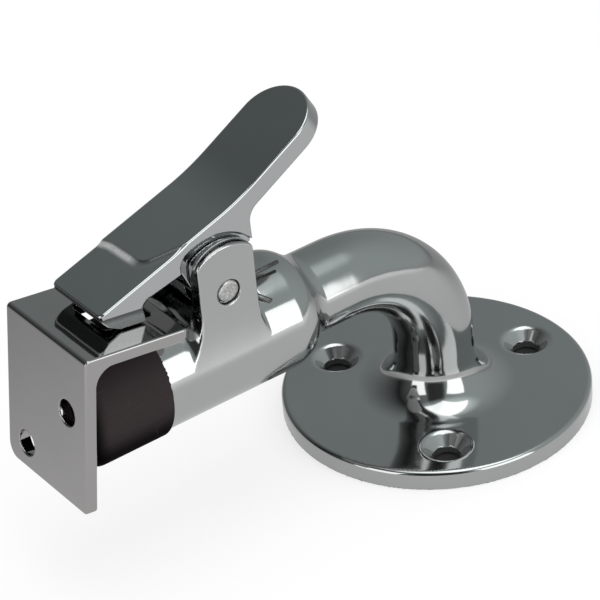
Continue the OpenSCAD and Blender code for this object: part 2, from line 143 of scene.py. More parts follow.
# %% Distance to a filleted outline
def outline(corners):
    """Distance function of a closed outline whose corners are (x, y, radius): the
    smallest distance to its lines and arcs, with the sign of the nearest."""
    lines, arcs = lines_and_arcs(corners)

    def distance(x, y):
        best = np.full(np.broadcast(x, y).shape, FAR)
        near = best.copy()
        for a, b in lines:
            d = b - a
            length = max(np.hypot(*d), 1 / FAR)
            t = np.clip(((x - a[0]) * d[0] + (y - a[1]) * d[1]) / length ** 2, 0, 1)
            away = np.hypot(x - a[0] - t * d[0], y - a[1] - t * d[1])
            side = np.where(d[0] * (y - a[1]) - d[1] * (x - a[0]) > 0, -away, away)
            best = np.where(away < near, side, best)
            near = np.minimum(away, near)
        for c, middle, radius, turn, half in arcs:
            from_c = np.hypot(x - c[0], y - c[1])
            ahead = (x - c[0]) * middle[0] + (y - c[1]) * middle[1]
            faced = ahead >= from_c * np.cos(half) - 1 / FAR
            away = np.where(faced, np.abs(from_c - radius), FAR)
            side = (from_c - radius) * np.sign(turn)
            best = np.where(away < near, side, best)
            near = np.minimum(away, near)
        return best
    return distance


square = outline([(-2, -2, 0.5), (2, -2, 0.5), (2, 2, 0.5), (-2, 2, 0.5)])
print("a 4 mm square's middle is at distance", round(float(square(0.0, 0.0)), 3))

# %% [markdown]
# The skin is found on a grid. Each cell that the skin passes through gets one
# vertex, at the mean of the points where its edges are crossed, and four such
# cells round a crossed edge make a face.

# %% Cells on the skin
UNIT = np.eye(3, dtype=int)


def crossings(values, cell):
    """For each cell the mean of the points where its twelve edges cross the skin,
    in grid steps. An edge from value a to value b is crossed at a / (a - b)."""
    total, count = np.zeros((len(cell), 3)), np.zeros(len(cell))
    for axis in range(3):
        for i in (0, 1):
            for j in (0, 1):
                base = i * UNIT[(axis + 1) % 3] + j * UNIT[(axis + 2) % 3]
                a = values[tuple((cell + base).T)]
                b = values[tuple((cell + base + UNIT[axis]).T)]
                crossed = (a < 0) != (b < 0)
                t = np.where(crossed, a / np.where(crossed, a - b, 1), 0)
                total += crossed[:, None] * (base + t[:, None] * UNIT[axis])
                count += crossed
    return cell + total / count[:, None]


def cell_faces(solid, number):
    """One quad round each grid edge that goes through the skin, made of the four
    cells that share the edge, and turned so that it faces out of the metal."""
    quads = []
    for axis in range(3):
        u, v = (axis + 1) % 3, (axis + 2) % 3
        first = np.moveaxis(solid, axis, 0)
        change = np.argwhere(first[:-1] != first[1:])
        edge = np.empty_like(change)
        edge[:, [axis] + [k for k in range(3) if k != axis]] = change
        edge = edge[(edge[:, u] > 0) & (edge[:, v] > 0)]
        leaving = solid[tuple(edge.T)]
        around = (UNIT[u] + UNIT[v], UNIT[v], 0 * UNIT[u], UNIT[u])
        ring = np.stack([number[tuple((edge - o).T)] for o in around], 1)
        quads.append(np.where(leaving[:, None], ring, ring[:, ::-1]))
    return np.concatenate(quads)


# %% [markdown]
# The vertices are then slid along the normal until the distance is zero, so even
# a coarse grid gives true points. The normals come from the distance as well,
# and not from the faces, which is what keeps the reflections clean.

# %% From distance to mesh
SLIDES, LONGEST_SLIDE = 4, 0.25


def ticks(low, high, step):
    """Grid positions from just below low to just above high."""
    return np.arange(low - step, high + 2 * step, step)


def slope(field, points, h=0.02):
    """Unit normals: the differences of the distance along x, y and z."""
    x, y, z = points.T
    g = np.stack([field(x + h, y, z) - field(x - h, y, z),
                  field(x, y + h, z) - field(x, y - h, z),
                  field(x, y, z + h) - field(x, y, z - h)], 1)
    return g / np.maximum(np.linalg.norm(g, axis=1)[:, None], 1e-12)


def skin(field, axes):
    """Vertices, quads and normals of the surface where field(x, y, z) is zero, on
    a grid whose lines stand at the positions in the three axes."""
    values = np.broadcast_to(field(*np.ix_(*axes)), [len(a) for a in axes])
    values = values.astype(np.float32)
    solid = values < 0
    nx, ny, nz = np.array(solid.shape) - 1
    filled = sum(solid[i:nx + i, j:ny + j, k:nz + k].astype(np.int8)
                 for i in (0, 1) for j in (0, 1) for k in (0, 1))
    mixed = (filled > 0) & (filled < 8)
    cell = np.argwhere(mixed)
    number = np.full(mixed.shape, -1, np.int32)
    number[mixed] = np.arange(len(cell))
    inner = crossings(values, cell)
    points = np.stack([np.interp(inner[:, k], np.arange(len(axes[k])), axes[k])
                       for k in range(3)], 1)
    for _ in range(SLIDES):
        value, normal = field(*points.T), slope(field, points)
        points = points - np.clip(value, -LONGEST_SLIDE, LONGEST_SLIDE)[:, None] * normal
    return points, cell_faces(solid, number), slope(field, points)


# %% [markdown]
# A Blender mesh is made from such arrays. It keeps one value a vertex, which tells the finish
# where a cutter's marks stay on a polished piece, and where a pale patch on the pad's step is
# partly a painted highlight. Every piece then stands for a node of the frame and rides on that
# node's body.

# %% Pieces
def piece(name, points, faces, normals, marks_and_highlight):
    """Mesh object in metres from points in millimetres, shaded smooth. The last argument is a
    value for each vertex: 0 where the wheel polished, 1 where the tool's marks stay; on the pad's
    step it also paints a highlight."""
    mesh = bpy.data.meshes.new(name)
    mesh.from_pydata((np.asarray(points) * MM).tolist(), [], np.asarray(faces).tolist())
    mesh.polygons.foreach_set("use_smooth", np.ones(len(mesh.polygons), bool))
    mesh.update()
    mesh.normals_split_custom_set_from_vertices(normals.tolist())
    layer = mesh.attributes.new("marks_and_highlight", "FLOAT", "POINT")
    layer.data.foreach_set("value", np.broadcast_to(marks_and_highlight, len(points)).astype(float))
    thing = bpy.data.objects.new(name, mesh)
    bpy.context.scene.collection.objects.link(thing)
    print(name, len(mesh.vertices), "vertices,", len(mesh.polygons), "faces")
    return thing


def dress(thing, body, slot, material, *nodes):
    """The piece stands for CAD nodes, rides on their body and takes a finish."""
    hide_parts(*nodes)
    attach(thing, body)
    thing.data.materials.append(material)


# %% [markdown]
# ## Finishes
# Shader maths reads like arithmetic when a small class wraps a socket: an
# expression such as `1 - mask * 0.3` adds the Math nodes by itself.

# %% Shader helper
class Wire:
    """A node socket with arithmetic. Each operation adds one Math node."""

    def __init__(self, tree, socket):
        self.tree, self.socket = tree, socket

    def math(self, operation, *values):
        return make(self.tree, "ShaderNodeMath", {"operation": operation}, list(values))

    def __add__(self, other): return self.math("ADD", self, other)
    def __radd__(self, other): return self.math("ADD", other, self)
    def __sub__(self, other): return self.math("SUBTRACT", self, other)
    def __rsub__(self, other): return self.math("SUBTRACT", other, self)
    def __mul__(self, other): return self.math("MULTIPLY", self, other)
    def __rmul__(self, other): return self.math("MULTIPLY", other, self)
    def __truediv__(self, other): return self.math("DIVIDE", self, other)
    def __pow__(self, other): return self.math("POWER", self, other)
    def at_least(self, other): return self.math("MAXIMUM", self, other)
    def at_most(self, other): return self.math("MINIMUM", self, other)

    def step(self, low, high):
        """0 below low, 1 above high, and smooth between."""
        return make(self.tree, "ShaderNodeMapRange", {"interpolation_type": "SMOOTHSTEP"},
                    {"Value": self, "From Min": low, "From Max": high})


def make(tree, kind, settings=None, inputs=None, output=0):
    """Node of a kind with its settings, then its sockets' values or links."""
    node = tree.nodes.new(kind)
    for key, value in (settings or {}).items():
        setattr(node, key, value)
    pairs = inputs.items() if isinstance(inputs, dict) else enumerate(inputs or [])
    for key, value in pairs:
        if isinstance(value, Wire):
            tree.links.new(value.socket, node.inputs[key])
        else:
            node.inputs[key].default_value = value
    return Wire(tree, node.outputs[output])


# %% [markdown]
# Every finish starts from the Principled shader. Its patterns are noises over the
# piece's own coordinates, so they stay on the metal when the lever turns.

# %% Parts of a finish
def finish_of(name, base, metallic, roughness):
    """Material with a Principled shader; returns it, its tree, shader and place."""
    material = bpy.data.materials.new(name)
    material.use_nodes = True
    tree = material.node_tree
    shader = tree.nodes["Principled BSDF"]
    shader.inputs["Base Color"].default_value = (*base, 1)
    shader.inputs["Metallic"].default_value = metallic
    shader.inputs["Roughness"].default_value = roughness
    place = make(tree, "ShaderNodeTexCoord", output=3)
    return material, tree, shader, place


def noise(tree, place, scale, detail, stretch=(1, 1, 1)):
    """Noise value over object coordinates; scale counts features in a metre."""
    spot = make(tree, "ShaderNodeMapping", {}, {"Vector": place, "Scale": stretch})
    return make(tree, "ShaderNodeTexNoise", {},
                {"Vector": spot, "Scale": scale, "Detail": detail})


def blend(tree, share, first, second):
    """Colour mix: the first colour where share is 0, the second where it is 1."""
    return make(tree, "ShaderNodeMix", {"data_type": "RGBA"},
                {0: share, 6: first, 7: second}, 2)


def darker(base, share):
    """A colour at a share of its brightness, opaque."""
    return (*[c * share for c in base], 1)


def bump(tree, shader, height, strength, distance):
    """Normal tilt of a height whose 1 is distance metres, into the shader's Normal."""
    out = make(tree, "ShaderNodeBump", {},
               {"Height": height, "Strength": strength, "Distance": distance})
    tree.links.new(out.socket, shader.inputs["Normal"])


# %% [markdown]
# The castings are polished by hand on a felt wheel. Such a mirror isn't perfect:
# the surface waves by a few microns over some millimetres, fine wheel lines run
# across it, and a thin haze of wiping marks dulls it in patches. The keeper has
# the same finish, a little darker.

# %% Polished metal
CUT_METAL = (0.62, 0.63, 0.63)


def polished(name, base, haze, wave):
    """Mirror finish with clouds of haze. Where the per-vertex value is 1, the metal is paler,
    rough and pitted, as a cutter or a file leaves it; on the pad's step the same pale patch is
    partly a painted highlight."""
    material, tree, shader, place = finish_of(name, base, 1.0, haze)
    marks_and_highlight = make(tree, "ShaderNodeAttribute", {"attribute_name": "marks_and_highlight"}, output=2)
    smear = noise(tree, place, 60, 3)
    lines = noise(tree, place, 900, 2, (0.12, 1, 1))
    pits = noise(tree, place, 1900, 3)
    rough = haze * (0.6 + 0.8 * smear) + 0.04 * lines.step(0.6, 0.8)
    rough = rough + marks_and_highlight * (0.26 + 0.16 * pits)
    tree.links.new(rough.socket, shader.inputs["Roughness"])
    tint = blend(tree, smear.step(0.3, 0.75), darker(base, 0.965), (*base, 1))
    # pale where cutter marks stay; on the pad's step this pale patch is partly a painted
    # highlight
    pale = blend(tree, marks_and_highlight * (0.5 + 0.5 * pits.step(0.35, 0.6)), tint, (*CUT_METAL, 1))
    tree.links.new(pale.socket, shader.inputs["Base Color"])
    tree.links.new((1 - 0.7 * marks_and_highlight).socket, shader.inputs["Metallic"])
    waves = noise(tree, place, 170, 1) + 0.02 * lines + marks_and_highlight * pits * 0.5
    bump(tree, shader, waves, wave, 0.00006)
    return material


body_metal = polished("polished body", (0.43, 0.437, 0.435), 0.1, 0.6)
lever_metal = polished("polished lever", (0.44, 0.452, 0.455), 0.045, 0.4)
keeper_metal = polished("polished keeper", (0.375, 0.367, 0.366), 0.055, 0.5)
print("polished:", body_metal.name, lever_metal.name, keeper_metal.name)

# %% [markdown]
# The pin's ends were hammered and left grainy, and the spring is drawn wire with
# a fainter grain. Both are bare steel, so one function makes the two.

# %% Pin and spring steel
def grainy(name, base, roughness, grain):
    """Bare steel: small dark pits, and rougher patches where the hammer or the
    drawing die rubbed it. Grain is how deep the pits look."""
    material, tree, shader, place = finish_of(name, base, 1.0, roughness)
    pits = noise(tree, place, 2600, 4)
    patches = noise(tree, place, 700, 2)
    rough = roughness + 0.25 * patches.step(0.4, 0.7)
    tree.links.new(rough.socket, shader.inputs["Roughness"])
    tint = blend(tree, pits.step(0.3, 0.7), darker(base, 0.6), (*base, 1))
    tree.links.new(tint.socket, shader.inputs["Base Color"])
    bump(tree, shader, pits + 0.8 * patches, grain, 0.0002)
    return material


pin_metal = grainy("hammered pin", (0.56, 0.56, 0.55), 0.28, 0.35)
spring_metal = grainy("drawn spring wire", (0.24, 0.24, 0.24), 0.2, 0.1)
print("bare steel:", pin_metal.name, spring_metal.name)

# %% [markdown]
# The buffer is black-brown rubber with a satin skin and hair-fine scratches. Its lower part is
# painted near black: painted shade for the side that faces the shadowed floor. The scratches are
# where a slow noise passes its mean value, which is a set of thin wandering lines.

# %% Rubber
SCRATCHED = (0.14, 0.13, 0.13)
# Heights of the object's z in metres: below the first the rubber is painted near black, a painted
# shade; above the second it keeps its own colour.
PAINTED_SHADE_FROM, PAINTED_SHADE_TO = 0.03, 0.037


def rubbery(name, base):
    """Dull dark rubber, nearly without gloss. Its lower part is painted near black, a painted
    shade; between the two heights it turns to the rubber's own brown."""
    material, tree, shader, place = finish_of(name, base, 0.0, 0.4)
    shader.inputs["Specular IOR Level"].default_value = 0.015
    shader.inputs["IOR"].default_value = 1.12
    grain = noise(tree, place, 2200, 3)
    cloud = noise(tree, place, 90, 2)
    scratch = noise(tree, place, 260, 0, (0.25, 1, 1)) - 0.5
    hair = 1 - (scratch * scratch * 90000).at_most(1)
    rough = 0.34 + 0.16 * cloud + 0.1 * grain
    tree.links.new(rough.socket, shader.inputs["Roughness"])
    height = make(tree, "ShaderNodeSeparateXYZ", {}, [place], 2)
    # painted shade: the lower part is darkened to a tenth of the rubber's colour
    painted_shade = blend(tree, height.step(PAINTED_SHADE_FROM, PAINTED_SHADE_TO), darker(base, 0.1), (*base, 1))
    tint = blend(tree, hair * 0.14 * cloud.step(0.45, 0.6), painted_shade, (*SCRATCHED, 1))
    tree.links.new(tint.socket, shader.inputs["Base Color"])
    bump(tree, shader, grain * 0.4 - hair * 0.8, 0.35, 0.00004)
    return material


buffer_rubber = rubbery("buffer rubber", (0.03, 0.0245, 0.0255))
print("rubber:", buffer_rubber.name)

# %% [markdown]
# ## The body casting
# A flange, a neck that bends over into an arm, a domed head and two ears, all in
# one casting. The numbers are the solids' own sizes. X runs along the arm with
# the buffer at its low end, and z = 0 is the flange's underside.

# %% Sizes of the body
FLANGE_R, FLANGE_T, FLANGE_EDGE = 30.0, 3.9, 0.9
NECK_R, FOOT_R, AXIS_Z, BEND_R = 7.8, 7.5, 37.1, 22.5
HEAD_R, HEAD_FRONT, HEAD_BACK, DOME_R, SHOULDER_R = 11.4, -65.8, -30.2, 7.0, 1.8
SCREW_AT, SCREW_TURNS = 21.5, (-4, 116, 236)
BORE_R, SINK_R, SINK_EDGE = 2.6, 4.7, 0.45
PIN_X, PIN_Z = -51.0, 52.05
EAR_W, EAR_IN, EAR_OUT, EAR_TOP, EAR_BLEND = 12.0, 6.8, 9.6, 9.35, 50.0
EAR_CORNER, EAR_FRONT_FILLET, EAR_REAR_FILLET, EAR_REACH = 0.7, 4.2, 1.3, 11.0
SLOT_HALF, SLOT_FLOOR = 8.0, 46.5
SEAT_R, RIVET_R, RIVET_DEPTH = 2.11, 2.42, 0.9
BURIED = 1.0  # the neck and the screws' cones start this far up, in the flange
print("body: flange", 2 * FLANGE_R, "mm across, arm at", AXIS_Z, "mm, pin at", PIN_Z, "mm")

# %% [markdown]
# The neck is one round bar: its distance is that to a bent line, less the bar's
# radius. The screw holes are plain bores, each with a cone for the screw's head.

# %% Neck and screw holes
def gooseneck(x, y, z):
    """Distance to the neck's middle line, less its radius. The line goes straight
    up, round a quarter circle and straight along -X."""
    up = np.sqrt(x * x + y * y + np.maximum(z - (AXIS_Z - BEND_R), 0) ** 2)
    along = np.sqrt((z - AXIS_Z) ** 2 + y * y + np.maximum(x + BEND_R, 0) ** 2)
    cx, cz = x + BEND_R, z - (AXIS_Z - BEND_R)
    ring = np.hypot(np.hypot(cx, cz) - BEND_R, y)
    ring = np.where((cx > 0) & (cz > 0), ring, FAR)
    return np.minimum(np.minimum(up, along), ring) - NECK_R


def screw_holes(x, y, z):
    """Smallest distance to the three countersunk holes: a bore, and a cone of 90
    degrees that opens from it to the flange's top."""
    best = FAR
    for turn in np.radians(SCREW_TURNS):
        r = np.hypot(x - SCREW_AT * np.cos(turn), y - SCREW_AT * np.sin(turn))
        cone = (r - SINK_R - (z - FLANGE_T)) * np.sqrt(0.5)
        best = np.minimum(best, np.minimum(r - BORE_R, np.maximum(cone, BURIED - z)))
    return best


# %% [markdown]
# The ears grow out of the head as a founder would draw them: their outer faces
# run down into the head's round side without a line, and small fillets carry
# them fore and aft. The face was ground flat last, so its edge is crisp low down,
# where it runs out into the head, and softer round the top.

# %% Ears
def ears(x, y, z, head):
    """Two ears that rise from the head. Seen along the arm, each outer face is a
    line, then a shallow hollow arc that touches the line and the head's circle, and
    then that circle. Along the arm the ears stand on fillets."""
    u, v, a, w = x - PIN_X, z - PIN_Z, np.abs(y), z - AXIS_Z
    ay = EAR_OUT + EAR_BLEND
    aw = np.sqrt((HEAD_R + EAR_BLEND) ** 2 - ay ** 2)
    hollow = EAR_BLEND - np.hypot(a - ay, w - aw)
    across = np.where(w > aw, a - EAR_OUT, np.where(w > a * aw / ay, hollow, head))
    top = np.where(v > 0, np.hypot(u, v), np.abs(u)) - EAR_TOP
    arch = meet(np.abs(u) - EAR_W / 2, top, EAR_CORNER)
    fillet = np.where(u < 0, EAR_FRONT_FILLET, EAR_REAR_FILLET)
    edge = 0.1 + 0.25 * np.clip((w - 5) / 4, 0, 1)
    return meet(join(arch, head, fillet), across, edge)


# %% [markdown]
# The parts are joined from the floor up, and the tools come last, as in the
# workshop: the slot for the lever is milled, then the pin's holes are bored, each
# with a shallow seat round it for the riveted end.

# %% The whole casting
def body_field(x, y, z):
    """Distance to the whole casting: fillets join its parts, then the clevis slot
    and the pin's seats are cut. The screw holes are cut in the flange alone."""
    flange = np.maximum(meet(np.hypot(x, y) - FLANGE_R, z - FLANGE_T, FLANGE_EDGE), -z)
    flange = cut(flange, screw_holes(x, y, z), SINK_EDGE)
    neck = np.maximum(gooseneck(x, y, z), BURIED - z)
    foot = np.maximum(join(flange, neck, FOOT_R), -z)
    round_head = np.hypot(y, z - AXIS_Z) - HEAD_R
    head = np.maximum(meet(round_head, x - HEAD_BACK, DOME_R), HEAD_FRONT - x)
    u, v = x - PIN_X, z - PIN_Z
    pair = np.maximum(ears(x, y, z, round_head), AXIS_Z - z)
    whole = np.minimum(join(foot, head, SHOULDER_R), np.maximum(pair, np.abs(u) - EAR_REACH))
    slot = np.maximum(np.maximum(np.abs(u) - SLOT_HALF, np.abs(y) - EAR_IN), SLOT_FLOOR - z)
    whole = cut(whole, slot, 0.3)
    r = np.hypot(u, v)
    counterbore = np.maximum(r - RIVET_R, EAR_OUT - RIVET_DEPTH - np.abs(y))
    return cut(whole, np.minimum(r - SEAT_R, counterbore), 0.15)


# %% [markdown]
# The casting is far bigger than its smallest edge, so the grid is fine round the
# head and the ears, and wider over the plain flange and the arm. The cones of the
# countersinks keep a trace of the cutter.

# %% The body's mesh
fine_x = np.concatenate([np.arange(-66.2, -42, 0.28), np.arange(-42, -29, 0.36),
                         np.arange(-29, 31.1, 0.55)])
fine_z = np.concatenate([np.arange(-0.35, 5, 0.33), np.arange(5, 25, 0.45),
                         np.arange(25, 46, 0.4), np.arange(46, 62.2, 0.29)])
points, quads, normals = skin(body_field, (fine_x, ticks(-30, 30, 0.38), fine_z))
on_cone = np.clip(1 - screw_holes(*points.T) / 0.15, 0, 1) * (points[:, 2] < FLANGE_T)
casting = piece("body_casting_skin", points, quads, normals, 0.12 * on_cone)
dress(casting, "stop", "polished_body", body_metal, "body_casting")

# %% [markdown]
# ## The catch lever
# A thumb tail rises behind the pin, and in front a nose comes down to the keeper,
# with a hook and a tooth under it. U runs along the arm and v up from the pin.
# The hook stands on the keeper's leg, which hangs a little askew.

# %% Sizes of the lever
NOSE, CREASE_U, CREASE_V, NOSE_SLOPE, TAIL_SLOPE = 25.0, 4.9, 15.4, 18.3, 30.0
HALF_W, WEB, HUB_R, TIP_R = 7.6, 6.6, 5.0, 1.2
TAIL_LEN, TAIL_T = 22.9, 3.95
HEEL_U, HEEL_V, UNDER_U = 6.4, -2.2, 7.2
HOOK_BACK, HOOK_LEN, HOOK_GAP = 15.5, 5.4, 0.3
TOOTH_V, TOOTH_HALF = -2.55, 4.8
KEEPER_AT, KEEPER_TILT = (-82.6, 53.7266), 7.5


def leg_top(u):
    """Height above the pin of the tilted keeper's leg, u in front of the pin."""
    run = PIN_X - u - KEEPER_AT[0]
    return KEEPER_AT[1] - PIN_Z - run * np.tan(np.radians(KEEPER_TILT))


nose_v = CREASE_V - (NOSE + CREASE_U) * np.tan(np.radians(NOSE_SLOPE))
foot_v = leg_top(HOOK_BACK) + HOOK_GAP
toe_v = leg_top(HOOK_BACK + HOOK_LEN) + HOOK_GAP
print("hook's foot", round(foot_v, 3), "toe", round(toe_v, 3), "nose", round(nose_v, 3))

# %% [markdown]
# The lever's side is one outline. It starts at the top of the nose and goes over
# the crease to the tail, back under the tail to the heel, forward to the pin,
# where the hub will cover it, and round the hook. The tooth is a second outline
# that drops through the keeper's slot.

# %% Lever outline
tail_tan = np.tan(np.radians(TAIL_SLOPE))
tail_u = CREASE_U + TAIL_LEN
tail_v = CREASE_V + TAIL_LEN * tail_tan
drop = TAIL_T / np.cos(np.radians(TAIL_SLOPE))
lever_side = outline([
    (-NOSE, nose_v, 0.5), (CREASE_U, CREASE_V, 45),
    (tail_u, tail_v, 0.1), (tail_u, tail_v - drop, 0.1),
    (UNDER_U, CREASE_V - drop + (UNDER_U - CREASE_U) * tail_tan, 3.4),
    (7.4, 5.9, 1), (HEEL_U, HEEL_V, 0.5), (0, HEEL_V, 0.1),
    (0, 0, 0.1), (-4.8, 0, 0.1), (-7.5, 6.1, 1.2),
    (-16.1, foot_v + 4.3, 1.5), (-HOOK_BACK, foot_v, 0.3),
    (-HOOK_BACK - HOOK_LEN, toe_v, 1.6), (-23.3, toe_v + 1.5, 2.4),
    (-NOSE, nose_v - 1.3, 0.5)])
tooth_side = outline([
    (-20.1, toe_v + 1, 0.1), (-20.1, toe_v, 0.4), (-17.9, TOOTH_V, 1),
    (-15.17, TOOTH_V, 0.3), (-15.64, foot_v + 1, 0.1)])
print("tail ends", round(tail_u, 2), "mm behind and", round(tail_v, 2), "mm above the pin")

# %% [markdown]
# The pad on the nose is milled with a ball-nosed cutter, so its step is a hollow
# curve that turns a corner near the lever's side. The step is stated as a height
# that rises with the distance from the tongue's outline, like a quarter pipe. The
# nose's sides are bevelled underneath, and a recess on each side of the web gives
# the ear its room.

# %% Pad, bevels and recesses
PAD_DEPTH, STEP_R, STEP_WALL = 0.4, 4.0, 10
BEVEL_FALL, BEVEL_SLOPE = 8.5, 14.0
RECESS_AHEAD, RECESS_R, RECESS_FRONT, RECESS_TOP = 1.2, 10.85, 7.9, 5.9
tongue = outline([(-8, 11.8, 0.1), (10.4, 11.8, 8), (10.75, -5.048, 4),
                  (83.2, -38.86, 0.1), (90, 30, 0.1), (-8, 30, 0.1)])


def pad(u, v, y):
    """Distance above the milled pad. Inside the tongue's outline the floor curves
    up as a quarter circle of the cutter's radius, and then steeply on."""
    s, h = tilted(u + NOSE, v - nose_v, NOSE_SLOPE)
    t = np.maximum(-tongue(s, y), 0)
    near = np.minimum(t, STEP_R)
    rise = STEP_R - np.sqrt(STEP_R ** 2 - near ** 2) + STEP_WALL * (t - near)
    return h + PAD_DEPTH - rise


def bevel(u, v, a):
    """Distance outside the bevel under the nose's side: a plane through a line
    that falls towards the hook, leaning inwards below it. None behind the hook."""
    _, q = tilted(u + NOSE + 1, v - nose_v + 1.6, -BEVEL_FALL)
    lean = np.radians(BEVEL_SLOPE)
    return np.where(u < -10, (a - HALF_W) * np.cos(lean) - q * np.sin(lean), -9.0)


def recess(u, v, a):
    """Distance to the room for one ear: an arch over the pin, open below."""
    arch = np.minimum(np.hypot(u + RECESS_AHEAD, v) - RECESS_R, v - RECESS_TOP)
    return meet(meet(arch, -RECESS_FRONT - u, 1.2), WEB - a, 0.5)


# %% [markdown]
# The lever's plan is narrow and straight with a round tail. Its crossing edges
# are broken by the polishing wheel, most of all over the hook. Inside the hub
# there is room for the spring: its coil, its leg to the tail and its heel leg,
# which bends as the lever turns.

# %% The whole lever
COIL_ROOM_R, COIL_SIDE, LEG_SIDE, HEEL_ROOM_V, PIN_HOLE_R = 5.1, -3.3, -5.4, -0.9, 2.15


def spring_room(u, v, y):
    """Distance to the pocket: the coil's round room, and two slots behind it."""
    coil_room = np.maximum(np.hypot(u, v) - COIL_ROOM_R, y - COIL_SIDE)
    leg_room = np.maximum(np.maximum(-u, v - RECESS_TOP), y - LEG_SIDE)
    heel_room = np.maximum(np.maximum(-u, v - HEEL_ROOM_V), y - COIL_SIDE)
    return np.minimum(np.minimum(coil_room, leg_room), heel_room)


def lever_field(x, y, z):
    """Distance to the lever: its side met with its plan, then the bevels and the
    recesses cut, the tooth and the hub joined, and the spring's room cut."""
    u, v, a = x - PIN_X, z - PIN_Z, np.abs(y)
    s, _ = tilted(u - CREASE_U, v - CREASE_V, TAIL_SLOPE)
    plan = np.hypot(np.maximum(s - TAIL_LEN + HALF_W, 0), y) - HALF_W
    corner = np.hypot(np.maximum(TIP_R - NOSE - u, 0), np.maximum(a - HALF_W + TIP_R, 0))
    plan = np.maximum(plan, corner - TIP_R)
    over_hook = np.clip((u + 18) / 2, 0, 1) * np.clip((-11 - u) / 2, 0, 1)
    edge = 0.38 + 0.5 * over_hook * np.clip((4.2 - v) / 1.5, 0, 1)
    whole = meet(meet(lever_side(u, v), pad(u, v, y), 0.06), plan, edge)
    whole = meet(whole, bevel(u, v, a), 0.25)
    whole = cut(whole, recess(u, v, a), 0.22)
    whole = np.minimum(whole, meet(tooth_side(u, v), a - TOOTH_HALF, 0.3))
    hub = meet(np.hypot(u, v) - HUB_R, a - WEB, 0.2)
    whole = cut(join(whole, hub, 0.5), spring_room(u, v, y), 0.15)
    return cut(whole, np.hypot(u, v) - PIN_HOLE_R, 0.1)


# %% [markdown]
# The pad's step gets a pale patch that is partly the cutter's marks and partly a painted
# highlight, stronger away from the lever's near side; fainter cutter marks stay on the bevels.
# The tail is a little longer than its solid, so the grid reaches past the solid's box.

# %% The lever's mesh
MORE_ROOM = ((0, 0, 0), (0.5, 0, 1.5))
low, high = np.array(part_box("catch_lever")) / MM + MORE_ROOM
points, quads, normals = skin(lever_field, [ticks(a, b, 0.2) for a, b in zip(low, high)])
u, y, v = (points - (PIN_X, 0, PIN_Z)).T
s, h = tilted(u + NOSE, v - nose_v, NOSE_SLOPE)
t = -tongue(s, y)
# the pad's step: cutter marks and a painted highlight on its upward faces
step_marks_and_highlight = np.clip(t / 0.7, 0, 1) * np.clip((1.8 - t) / 0.5, 0, 1)
step_marks_and_highlight = step_marks_and_highlight * (h > -0.6) * (normals[:, 2] > 0.5)
# painted highlight: the patch is weak at the near side and strong towards the middle and far side
step_marks_and_highlight = step_marks_and_highlight * (0.12 + 0.6 * np.clip((y + 3.2) / 2.5, 0, 1))
outside = np.abs(normals[:, 1]) > 0.5
on_bevel = np.clip((bevel(u, v, np.abs(y)) + 0.12) / 0.1, 0, 1) * outside * (v > foot_v - 0.2)
lever = piece("lever_casting", points, quads, normals, np.maximum(step_marks_and_highlight, 0.35 * on_bevel))
dress(lever, "lever", "polished_lever", lever_metal, "catch_lever")

# %% [markdown]
# ## The keeper
# A strip that is folded to an angle, with its corners tumbled round. It hangs a
# little askew on the hook, so it is modelled square in its own frame and each
# point is then turned and moved. P runs along the leg and q up the face.

# %% Keeper
LEG, FACE, KEEPER_W, KEEPER_T = 21.2, 30.7, 12.55, 2.4
SLOT_NEAR, SLOT_FAR, SLOT_W, SLOT_REACH = 8.685, 18.739, 5.2, 5
KEEPER_HOLES, KEEPER_HOLE_R, HOLE_REACH = ((-6.6, 12.8), (6.6, 25.6)), 2.45, 6
keeper_side = outline([(0, 0, 0.9), (LEG, 0, 0.7), (LEG, -KEEPER_T, 1.6),
                       (KEEPER_T, -KEEPER_T, 3.6), (KEEPER_T, -FACE, 0.4), (0, -FACE, 0.4)])
keeper_front = outline([(-KEEPER_W, 9, 0.1), (KEEPER_W, 9, 0.1), (KEEPER_W, -FACE, 3),
                        (-KEEPER_W, -FACE, 0.9)])
keeper_plan = outline([(-9, -KEEPER_W, 0.1), (LEG, -KEEPER_W, 1), (LEG, KEEPER_W, 1),
                       (-9, KEEPER_W, 0.1)])
keeper_slot = outline([(SLOT_NEAR, -SLOT_W, 1), (SLOT_FAR, -SLOT_W, 1),
                       (SLOT_FAR, SLOT_W, 1), (SLOT_NEAR, SLOT_W, 1)])


def keeper_field(p, y, q):
    """Distance to the keeper in its own frame: side met with front and plan, less
    the slot in the leg and the two screw holes in the face."""
    whole = meet(keeper_side(p, q), np.maximum(keeper_front(y, q), keeper_plan(p, y)), 0.35)
    whole = cut(whole, np.maximum(keeper_slot(p, y), -SLOT_REACH - q), 0.3)
    for out, down in KEEPER_HOLES:
        hole = np.hypot(y - out, q + down) - KEEPER_HOLE_R
        whole = cut(whole, np.maximum(hole, p - HOLE_REACH), 0.25)
    return whole


points, quads, normals = skin(keeper_field, (
    ticks(0, LEG, 0.2), ticks(-KEEPER_W, KEEPER_W, 0.22), ticks(-FACE, 0, 0.22)))
turn = np.array(Matrix.Rotation(np.radians(KEEPER_TILT), 3, "Y"))
points = points @ turn.T + (KEEPER_AT[0], 0, KEEPER_AT[1])
keeper = piece("keeper_angle", points, quads, normals @ turn.T, 0.0)
dress(keeper, "stop", "polished_keeper", keeper_metal, "keeper_plate")

# %% [markdown]
# ## Turned and bent pieces
# The buffer and the pin are turned, so each is a profile carried round an axis.
# The spring is a wire: a circle carried along its bent middle line. Both give
# rings of points, and the same faces join ring to ring.

# %% Sweeping
def arc(cx, cy, r, a0, a1, n=8):
    """Points of a circle's arc, as rows of (x, y)."""
    a = np.radians(np.linspace(a0, a1, n + 1))
    return np.stack([cx + r * np.cos(a), cy + r * np.sin(a)], 1)


